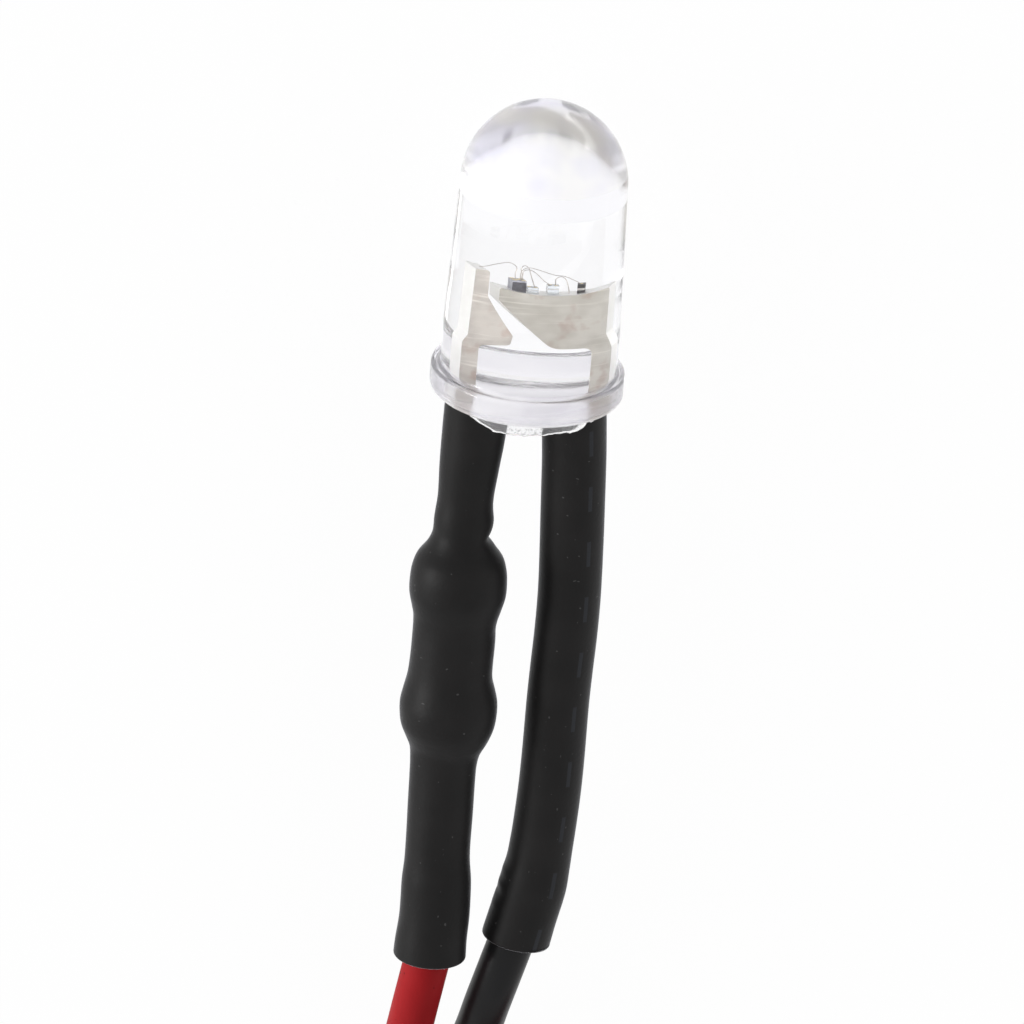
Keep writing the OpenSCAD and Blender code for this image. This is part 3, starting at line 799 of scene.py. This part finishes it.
def rim_mesh():
    """Closed strips of frosted resin under the flange."""
    points, faces = [], []
    for first, last, depth in RIM_ARCS:
        base = len(points)
        n = int((last - first) / 0.8)
        section = 2 * RIM_ROWS
        for i in range(n + 1):
            angle = first + (last - first) * i / n
            deep = rim_depth(angle, first, last, depth)
            c, s = math.cos(math.radians(angle)), math.sin(math.radians(angle))
            shift = 0.04 * MM * wave(9, angle / 4, 0)
            for row in range(section):
                outer = row < RIM_ROWS
                q = (row if outer else section - 1 - row) / (RIM_ROWS - 1)
                half = rim_thickness(q)
                r = RIM_R - RIM_T / 2 + shift * q + (half if outer else -half)
                points.append(Vector((r * c, -FLANGE_H - 0.002 * MM - deep * q, r * s)))
        for i in range(n):
            a, b = base + i * section, base + (i + 1) * section
            for row in range(section):
                up = (row + 1) % section
                faces.append((a + row, a + up, b + up, b + row))
        faces.append(tuple(base + row for row in reversed(range(section))))
        faces.append(tuple(base + n * section + row for row in range(section)))
    return points, faces


# %% Rim from two resins
FROSTED = two_tone(
    "frosted_epoxy", (0.93, 0.93, 0.94), (0.5, 0.5, 0.51), 12000, stops=(0.52, 0.7),
    bump=(12000, 0.2), Roughness=0.12, IOR=1.3, Transmission_Weight=0.93)
BROKEN = two_tone(
    "broken_edge", (0.5, 0.5, 0.52), (0.95, 0.95, 0.97), 9000, stops=(0.45, 0.6),
    Roughness=0.3, IOR=1.4, Transmission_Weight=0.4)
rim = add_piece("resin_rim", *rim_mesh())
paint(rim, FROSTED, BROKEN)
for polygon in rim.data.polygons:
    polygon.material_index = int(polygon.normal.y < -0.35)
rim.data.set_sharp_from_angle(angle=math.radians(50))
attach(rim, "root")
print("rim", len(rim.data.polygons), "faces")

# %% [markdown]
# The lead frame was stamped from silvered sheet. Its solids have the true outline, so merged copies
# of them get the small round edges of a stamping. The flat faces are tarnished, stained and brushed
# across, so their scratches run along X. The sheared edges are bright bare metal, and their
# near-white colour also paints the light that falls on the sides.

# %% Lead frame
def plated_face(name, dull, bright):
    """The flat faces of the sheet: tarnished silver with cross scratches and brown stains."""
    material, shader = new_material(name, Metallic=0.5, Roughness=0.45)
    tone = ramp(material, object_noise(material, 1400, (1, 1.4, 1)), [(0.3, dull), (0.6, bright)])
    stain = object_noise(material, 2300, (1, 0.8, 1), detail=3)
    stained = spotted(material, tone, stain, 0.56, 0.7, (0.42, 0.3, 0.25), most=0.55)
    scratches = object_noise(material, 11000, (0.04, 1, 1), detail=3)
    lined = spotted(material, stained, scratches, 0.57, 0.72, (0.9, 0.87, 0.8), most=0.5)
    join(material, lined, shader.inputs["Base Color"])
    add_bump(material, shader, scratches, 0.3)
    return material


# Near-white for the sheet's sides: bright bare metal, with painted light on the sides as well.
EDGE_METAL_PAINTED_LIGHT = two_tone(
    "sheared_edge_painted_light", (0.93, 0.92, 0.88), (1.0, 0.99, 0.96), 1800, stops=(0.3, 0.7),
    bump=(5000, 0.15), Metallic=0.6, Roughness=0.4)
FACES = {
    "anode_post": plated_face("warm_tarnish", (0.43, 0.39, 0.355), (0.56, 0.52, 0.47)),
    "cathode_anvil": plated_face("pale_tarnish", (0.49, 0.46, 0.4), (0.62, 0.59, 0.53))}
for node, name in (("anode_post", "anode_post_sheet"), ("cathode_anvil", "cathode_shelf_sheet")):
    sheet = round_edges(copy_of_node(node, name), 0.08 * MM)
    paint(sheet, FACES[node], EDGE_METAL_PAINTED_LIGHT)
    # Faces across Z keep the tarnish; all sides get the pale edge colour with its painted light.
    for polygon in sheet.data.polygons:
        polygon.material_index = int(abs(polygon.normal.z) < 0.75)
    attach(sheet, "root")
    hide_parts(node)
    print(name, len(sheet.data.polygons), "faces")

# %% [markdown]
# Four chips sit on the shelf: a dark driver whose pale sides are a painted reflection, two clear
# dies and one dark die with a pale band. They are too small to show carving, so one function stacks
# plain blocks in the box of the chip's solid and sets flat gold pads on top.

# %% Chips
def add_block(points, faces, low, high):
    """Adds a box between two corners to a mesh's points and faces."""
    base = len(points)
    for x in (low[0], high[0]):
        for y in (low[1], high[1]):
            for z in (low[2], high[2]):
                points.append(Vector((x, y, z)))
    for f in ((0, 1, 3, 2), (4, 6, 7, 5), (0, 4, 5, 1), (2, 3, 7, 6), (0, 2, 6, 4), (1, 5, 7, 3)):
        faces.append(tuple(base + i for i in f))


DIE_RISE = {"green_die": 0.05 * MM, "blue_die": 0.15 * MM}
PAD_SHARE = 0.16
PAD_T = 0.004 * MM
LAYER_GAP = 0.001 * MM


def chip_box(node):
    """Low and high corner of a chip, with the rise that brings a clear die nearer to the photo."""
    low, high = (Vector(corner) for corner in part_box(node))
    return low, high + Vector((0, DIE_RISE.get(node, 0), 0))


def add_chip(node, name, layers, pads):
    """A chip of stacked layers of (share of the height, material) with flat pads on top."""
    low, high = chip_box(node)
    points, faces, kinds = [], [], []
    y = low.y
    for share, index in layers:
        top = y + share * (high.y - low.y)
        add_block(points, faces, (low.x, y, low.z), (high.x, top - LAYER_GAP, high.z))
        kinds += [index] * 6
        y = top
    size = (high - low) * PAD_SHARE
    for u, w in pads:
        x = low.x + u * (high.x - low.x)
        z = low.z + w * (high.z - low.z)
        add_block(
            points, faces, (x - size.x, high.y, z - size.z), (x + size.x, high.y + PAD_T, z + size.z))
        kinds += [2] * 6
    piece = add_piece(name, points, faces, smooth=False)
    for polygon, index in zip(piece.data.polygons, kinds):
        polygon.material_index = index
    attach(piece, "root")
    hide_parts(node)
    return piece


# %% Chip materials and places
CHIP_GRAIN = 12000
SILICON = two_tone(
    "driver_silicon", (0.06, 0.058, 0.068), (0.1, 0.096, 0.112), CHIP_GRAIN, Roughness=0.35)
# Pale grey for the driver's two sides across X: a painted reflection.
SILICON_PAINTED_REFLECTION = two_tone(
    "driver_side_painted_reflection", (0.35, 0.35, 0.4), (0.5, 0.5, 0.55), CHIP_GRAIN, Roughness=0.3)
PAD_GOLD = two_tone(
    "pad_gold", (0.75, 0.62, 0.35), (0.85, 0.75, 0.5), CHIP_GRAIN, Roughness=0.3, Metallic=1.0)
SAPPHIRE = two_tone(
    "sapphire_die", (0.85, 0.9, 0.95), (0.95, 0.98, 1.0), CHIP_GRAIN,
    Roughness=0.05, IOR=1.77, Transmission_Weight=0.9)
DIE_BAND = two_tone("die_band", (0.45, 0.42, 0.4), (0.6, 0.57, 0.55), CHIP_GRAIN, Roughness=0.3)
DIE_DARK = two_tone("die_dark", (0.015, 0.013, 0.013), (0.04, 0.035, 0.035), CHIP_GRAIN, Roughness=0.3)

CORNER_PADS = [(0.2, 0.2), (0.8, 0.2), (0.2, 0.8), (0.8, 0.8), (0.5, 0.5)]
driver = add_chip("driver_chip", "driver_block", [(0.85, 0), (0.15, 1)], CORNER_PADS)
# The driver's sides across X take the pale painted reflection.
for polygon in driver.data.polygons:
    if abs(polygon.normal.x) > 0.9 and polygon.material_index == 0:
        polygon.material_index = 1
paint(driver, SILICON, SILICON_PAINTED_REFLECTION, PAD_GOLD)
for node, name in (("green_die", "green_sapphire"), ("blue_die", "blue_sapphire")):
    die = add_chip(node, name, [(0.55, 0), (0.08, 1), (0.37, 0)], [(0.25, 0.25), (0.75, 0.75)])
    paint(die, SAPPHIRE, DIE_BAND, PAD_GOLD)
dark_die = add_chip("red_die", "red_crystal", [(0.36, 0), (0.24, 1), (0.4, 0)], [(0.5, 0.5)])
paint(dark_die, DIE_DARK, DIE_BAND, PAD_GOLD)

# %% [markdown]
# A bond wire leaves a chip's pad steeply, bends over and comes down to its other end. The five are
# drawn by a few points each, which follow the photograph's arcs. The same tree as for the wires
# sweeps them, so they stay round and thin.

# %% Bond wires
BOND_R = 0.009 * MM


def top_of(node, u, w):
    """A point on top of a chip, at shares u and w of its width and depth."""
    low, high = chip_box(node)
    return Vector((low.x + u * (high.x - low.x), high.y, low.z + w * (high.z - low.z)))


# The bond wires are gold, and their grey tone is a painted reflection of the pale surroundings.
GOLD = two_tone(
    "gold_wire", (0.42, 0.39, 0.37), (0.58, 0.54, 0.5), 6000, stops=(0.3, 0.7),
    Metallic=1.0, Roughness=0.3)
POST_TOP = mm(-1.15, 3.2, 0.0)
SHELF_END = mm(0.59, 2.61, 0.08)
BOND_WIRES = {
    "supply_bond_wire": [
        top_of("driver_chip", 0.3, 0.6), mm(-0.385, 3.15, 0.02), mm(-0.36, 3.3, 0),
        mm(-0.41, 3.4, 0), mm(-0.54, 3.45, 0), mm(-0.76, 3.36, 0), mm(-1.0, 3.24, 0), POST_TOP],
    "green_bond_wire": [
        top_of("driver_chip", 0.65, 0.8), mm(-0.28, 3.15, 0.09), mm(-0.3, 3.32, 0.08),
        mm(-0.24, 3.42, 0.07), mm(-0.15, 3.34, 0.06), mm(-0.09, 3.08, 0.05),
        top_of("green_die", 0.7, 0.6)],
    "blue_bond_wire": [
        top_of("driver_chip", 0.8, 0.5), mm(-0.24, 3.13, 0), mm(-0.22, 3.24, 0), mm(-0.12, 3.28, 0),
        mm(0.0, 3.19, 0), mm(0.14, 2.98, 0), top_of("blue_die", 0.25, 0.5)],
    "red_bond_wire": [
        top_of("driver_chip", 0.75, 0.2), mm(-0.24, 3.2, -0.09), mm(-0.12, 3.32, -0.08),
        mm(0.06, 3.27, -0.08), mm(0.33, 3.14, -0.06), mm(0.51, 3.1, -0.05), mm(0.69, 2.96, -0.04),
        top_of("red_die", 0.3, 0.4)],
    "return_bond_wire": [
        top_of("blue_die", 0.75, 0.3), mm(0.35, 3.0, -0.03), mm(0.39, 3.08, -0.02),
        mm(0.46, 3.1, 0), mm(0.53, 3.0, 0.04), mm(0.58, 2.75, 0.07), SHELF_END]}
for node, route in BOND_WIRES.items():
    name = node.replace("bond_wire", "gold_wire")
    wire = add_tubes(name, [smooth_route(route, 8)], BOND_R, 10, GOLD)
    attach(wire, "root")
    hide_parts(node)

# %% [markdown]
# The two sleeves are heat-shrink tube: it takes the shape of what it covers, so the left one bulges
# over the resistor's two end caps and the right one runs plain round its wire. A cloth simulation
# would be slow and never quite the same. Here stations give the radius and the bow, a smooth curve
# joins them, and dents and a slight unevenness are added. All these are in millimetres and degrees.
# A sleeve is a wall between two surfaces, with rounded lips at both mouths.

# %% Sleeve shape
SLEEVE_TOP, RESISTOR_SLEEVE_END, CATHODE_SLEEVE_END = 0.98, 18.28, 17.78
WALL = 0.17
LIP = WALL / 2
LIP_STEPS = 8
SLEEVE_STEPS = 190
SLEEVE_SIDES = 96
UNEVEN = 0.01

RESISTOR_STATIONS = [
    (0.9, 0.93), (2.2, 0.9), (3.2, 0.845), (4.05, 0.795), (4.75, 0.83), (5.2, 0.84), (5.55, 0.975),
    (5.92, 1.233), (6.29, 1.347), (6.65, 1.38), (7.03, 1.37), (7.4, 1.284), (7.77, 1.2),
    (8.6, 1.18), (9.35, 1.185), (9.65, 1.215), (10, 1.3), (10.36, 1.375), (10.73, 1.375),
    (11.1, 1.32), (11.47, 1.178), (11.84, 1.01), (12.2, 0.952), (12.6, 0.936), (13.7, 0.931),
    (14.8, 0.92), (15.3, 0.932), (15.9, 0.984), (16.6, 0.995), (17.4, 1.0), (18.3, 1.03)]
RESISTOR_BOW = [
    (0.9, -1.36), (2.2, -1.4), (3, -1.44), (4, -1.472), (5.3, -1.49), (6.3, -1.478), (7, -1.467),
    (8.6, -1.465), (9.6, -1.48), (10.5, -1.45), (11.3, -1.43), (12.2, -1.457), (13, -1.447),
    (14, -1.424), (15, -1.405), (16, -1.362), (17, -1.337), (17.8, -1.375), (18.3, -1.38)]
CATHODE_STATIONS = [
    (0.9, 0.925), (3, 0.912), (5, 0.908), (7, 0.895), (10, 0.888), (12, 0.892), (14, 0.895),
    (14.8, 0.9), (15.4, 0.925), (16, 0.96), (17, 0.965), (17.9, 0.98)]
CATHODE_BOW = [
    (0.9, 1.39), (1.8, 1.46), (2.8, 1.54), (4, 1.61), (5.5, 1.69), (7, 1.745), (8.2, 1.745),
    (9.4, 1.71), (10.4, 1.687), (12, 1.684), (13, 1.67), (14, 1.628), (14.8, 1.575), (15.5, 1.505),
    (16.1, 1.42), (16.7, 1.29), (17.3, 1.16), (17.9, 1.06)]
RESISTOR_DENTS = [(5.25, 0, 0.15, 42, 0.13), (4.72, 0, 0.3, 45, -0.04), (8.0, 20, 0.25, 35, 0.025)]
CATHODE_DENTS = [
    (15.3, 180, 0.3, 30, 0.02), (15.7, 178, 0.1, 18, -0.02), (16.15, 176, 0.09, 16, -0.03),
    (16.45, 180, 0.08, 20, 0.035), (16.8, 174, 0.1, 18, -0.02)]


# %% Radius and centreline of a sleeve
def station_value(stations, s):
    """A smooth value at s through stations of (place, value)."""
    i = 0
    while i < len(stations) - 2 and s > stations[i + 1][0]:
        i += 1

    def slope(k):
        if k in (0, len(stations) - 1):
            return 0
        before, after = stations[k - 1], stations[k + 1]
        return (after[1] - before[1]) / (after[0] - before[0])

    (s0, v0), (s1, v1) = stations[i], stations[i + 1]
    w = s1 - s0
    q = (s - s0) / w
    return (
        v0 * (2 * q ** 3 - 3 * q * q + 1) + v1 * (3 * q * q - 2 * q ** 3)
        + w * slope(i) * (q ** 3 - 2 * q * q + q) + w * slope(i + 1) * (q ** 3 - q * q))


def sleeve_route(bow, last):
    """Distances below the shoulder and the points of a sleeve's centreline there."""
    step = (last - SLEEVE_TOP) / SLEEVE_STEPS
    distances = [SLEEVE_TOP + step * k for k in range(SLEEVE_STEPS + 1)]
    return distances, [mm(station_value(bow, s), -s, 0) for s in distances]


def dent_depth(dents, s, angle):
    """How far the skin is pressed in at a place by dents of (s, angle, length, width, depth)."""
    total = 0
    for at, toward, length, width, depth in dents:
        off = (angle - toward + 180) % 360 - 180
        total += depth * math.exp(-((s - at) / length) ** 2 - (off / width) ** 2)
    return total


# %% Rings of a sleeve
def sleeve_rings(bow, stations, last_s, dents, seed):
    """Rings of points round a sleeve, out along its skin and back inside, and each ring's distance."""
    places, route = sleeve_route(bow, last_s)
    frames = route_frames(route)
    rings, along = [], []

    def ring(i, radius, slide=0.0):
        along.append(places[i])
        p, heading, side, up = frames[i]
        out = []
        for k in range(SLEEVE_SIDES):
            a = 2 * math.pi * k / SLEEVE_SIDES
            uneven = UNEVEN * wave(seed, 2 * math.cos(a) + places[i] * 1.3, 2 * math.sin(a))
            pressed = dent_depth(dents, places[i], 180 - math.degrees(a))
            r = (radius + uneven - pressed) * MM
            out.append(p + heading * slide * MM + (side * math.cos(a) + up * math.sin(a)) * r)
        rings.append(out)

    radii = [station_value(stations, s) for s in places]
    last = len(route) - 1
    half = LIP_STEPS // 2
    for k in range(half + 1):
        a = math.pi * k / LIP_STEPS
        ring(0, radii[0] - LIP + LIP * math.sin(a), LIP * (1 - math.cos(a)))
    for i in range(1, last):
        ring(i, radii[i])
    for k in range(LIP_STEPS + 1):
        a = math.pi * k / LIP_STEPS
        ring(last, radii[last] - LIP + LIP * math.cos(a), -LIP + LIP * math.sin(a))
    for i in range(last - 1, 0, -1):
        ring(i, radii[i] - WALL)
    for k in range(half - 1, -1, -1):
        a = math.pi * k / LIP_STEPS
        ring(0, radii[0] - LIP - LIP * math.sin(a), LIP * (1 - math.cos(a)))
    return rings, along


# %% Sleeve from its rings
def add_sleeve(name, rings, along):
    """A hollow sleeve through the rings, with its length and angle kept as attributes."""
    n, sides = len(rings), SLEEVE_SIDES
    points = [p for r in rings for p in r]
    faces = []
    for i in range(n):
        a, b = i * sides, ((i + 1) % n) * sides
        for k in range(sides):
            j = (k + 1) % sides
            faces.append((a + k, a + j, b + j, b + k))
    piece = add_piece(name, points, faces)
    lengths = [place for place in along for _ in range(sides)]
    around = [360 * k / sides for _ in rings for k in range(sides)]
    for label, values in (("along", lengths), ("around", around)):
        piece.data.attributes.new(label, "FLOAT", "POINT").data.foreach_set("value", values)
    work = bmesh.new()
    work.from_mesh(piece.data)
    bmesh.ops.remove_doubles(work, verts=work.verts, dist=1e-8)
    bmesh.ops.recalc_face_normals(work, faces=work.faces)
    work.to_mesh(piece.data)
    work.free()
    piece.data.shade_smooth()
    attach(piece, "root")
    print(name, len(piece.data.polygons), "faces")
    return piece


# %% [markdown]
# Heat-shrink tube is matte black polyolefin with a leathery grain, a soft sheen at its edges and a
# few specks of pale dust. The mesh's attributes along and around place a row of faint plain dashes
# on the right sleeve. They stand for its print, and bend with the sleeve because the attributes do.

# %% Sleeve material
DASH_ANGLE = 112
DASH_PITCH = 1.7
DASH_L = 0.45 * DASH_PITCH
ROW_HALF = 4.0


def dash_mask(material):
    """1 on short dashes in one row along a sleeve, else 0."""
    along = add_node(material, "Attribute", set_attribute_name="along").outputs["Fac"]
    around = add_node(material, "Attribute", set_attribute_name="around").outputs["Fac"]
    step = add_node(material, "Math", set_operation="MODULO")
    step.inputs[1].default_value = DASH_PITCH
    dash = add_node(material, "Math", set_operation="LESS_THAN")
    dash.inputs[1].default_value = DASH_L
    row = add_node(material, "Math", set_operation="COMPARE")
    row.inputs[1].default_value = DASH_ANGLE
    row.inputs[2].default_value = ROW_HALF
    both = add_node(material, "Math", set_operation="MULTIPLY")
    join(material, along, step.inputs[0])
    join(material, step.outputs[0], dash.inputs[0])
    join(material, around, row.inputs[0])
    join(material, dash.outputs[0], both.inputs[0])
    join(material, row.outputs[0], both.inputs[1])
    return both.outputs[0]


def shrink_tube(name, marked):
    """Matte black tube with a fine grain and dust, and a row of faint dashes where marked."""
    material, shader = new_material(
        name, Roughness=0.5, Specular_IOR_Level=0.15, Sheen_Weight=0.6, Sheen_Roughness=0.25,
        Sheen_Tint=(0.9, 0.93, 1.0, 1))
    shades = [(0.3, (0.0045, 0.0042, 0.0042)), (0.7, (0.0075, 0.007, 0.007))]
    colour = ramp(material, object_noise(material, 700), shades)
    dust = object_noise(material, 9500, detail=0)
    colour = spotted(material, colour, dust, 0.83, 0.86, (0.04, 0.04, 0.04))
    if marked:
        colour = spotted(material, colour, dash_mask(material), 0.5, 0.53, (0.015, 0.016, 0.019))
    join(material, colour, shader.inputs["Base Color"])
    add_bump(material, shader, object_noise(material, 7000, detail=3), 0.2, 0.03 * MM)
    return material


resistor_sleeve = add_sleeve("resistor_shrink_sleeve", *sleeve_rings(
    RESISTOR_BOW, RESISTOR_STATIONS, RESISTOR_SLEEVE_END, RESISTOR_DENTS, seed=21))
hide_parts("resistor_sleeve")
paint(resistor_sleeve, shrink_tube("shrink_tube", False))
cathode_sleeve = add_sleeve("cathode_shrink_sleeve", *sleeve_rings(
    CATHODE_BOW, CATHODE_STATIONS, CATHODE_SLEEVE_END, CATHODE_DENTS, seed=22))
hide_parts("cathode_sleeve")
paint(cathode_sleeve, shrink_tube("marked_shrink_tube", True))

# %% [markdown]
# The resistor, the solder joints and the wires' stripped cores are closed in by the sleeves.
# Nothing of them shows, so they keep their solids and only get a fitting finish.

# %% Hidden pieces
CERAMIC = two_tone(
    "rod_ceramic", (0.7, 0.68, 0.6), (0.8, 0.78, 0.72), 2000, bump=(6000, 0.1), Roughness=0.7)
CAP_TIN = two_tone(
    "cap_tin", (0.55, 0.55, 0.55), (0.7, 0.7, 0.7), 3000, bump=(9000, 0.1), Roughness=0.3, Metallic=1.0)
LACQUER = two_tone(
    "blue_lacquer", (0.14, 0.32, 0.4), (0.2, 0.4, 0.48), 1500, bump=(4500, 0.1), Roughness=0.3)
SOLDER = two_tone(
    "soft_solder", (0.5, 0.5, 0.52), (0.68, 0.68, 0.7), 3000, bump=(9000, 0.1), Roughness=0.35,
    Metallic=1.0)
HIDDEN_FINISHES = [
    (CERAMIC, ["resistor_rod"]), (LACQUER, ["resistor_coating"]),
    (CAP_TIN, [
        "resistor_upper_cap", "resistor_lower_cap", "resistor_upper_lead", "resistor_lower_lead"]),
    (SOLDER, ["anode_solder", "red_wire_solder", "cathode_solder"]),
    (TINNED, ["red_core", "black_core"])]
for material, nodes in HIDDEN_FINISHES:
    for node in nodes:
        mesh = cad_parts[node].data
        mesh.materials.clear()
        mesh.materials.append(material)
print("finished", sum(len(nodes) for _, nodes in HIDDEN_FINISHES), "hidden pieces")
